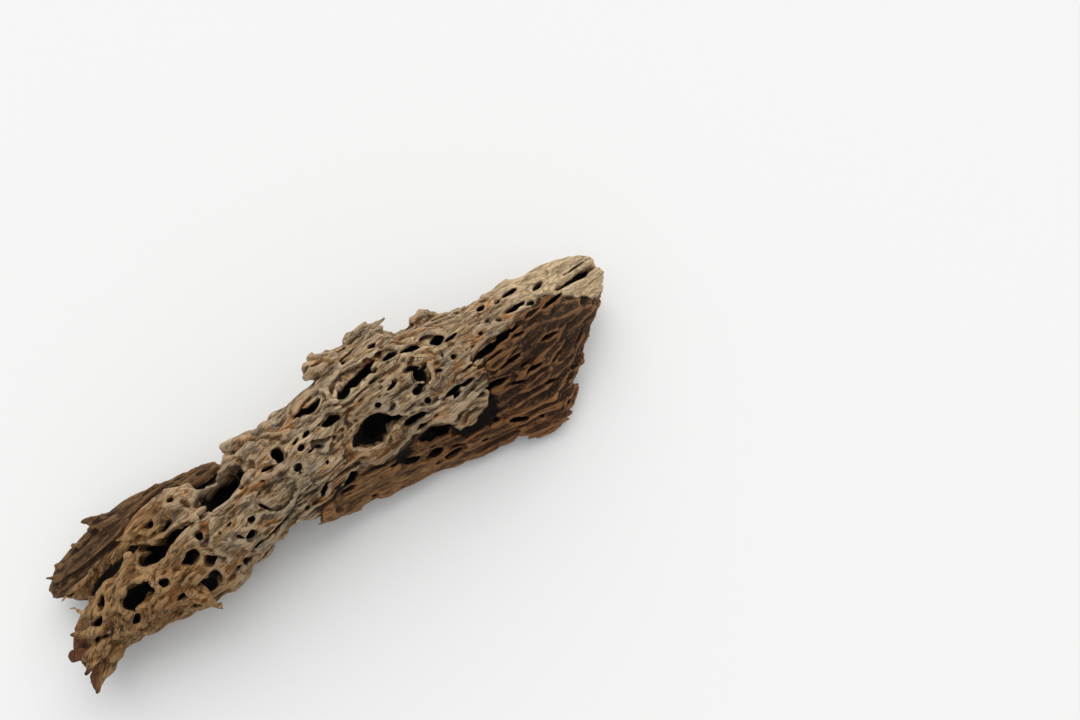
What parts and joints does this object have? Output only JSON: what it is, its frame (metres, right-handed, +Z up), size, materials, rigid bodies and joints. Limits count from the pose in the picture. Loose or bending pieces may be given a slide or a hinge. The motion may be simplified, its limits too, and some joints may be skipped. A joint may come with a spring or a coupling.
{
  "type": "honeycomb wood",
  "caption": "Weathered driftwood log with a borer-eaten honeycomb shell, a loose long-grained slab and splintered ends, lying on its side as a natural ornament.",
  "frame": {"origin": "middle of the bounding box in plan, on the surface that the log lies on", "axes": "+X along the log from its splintered foot to its narrow broken end, +Y towards the flank with the standing slab, +Z up"},
  "size_m": [0.5058, 0.189, 0.0969],
  "materials": {
    "weathered_wood": "raw, silvered and eroded, matt"
  },
  "bodies": {
    "root": {"honeycomb_wood": "weathered_wood"}
  },
  "joints": []
}
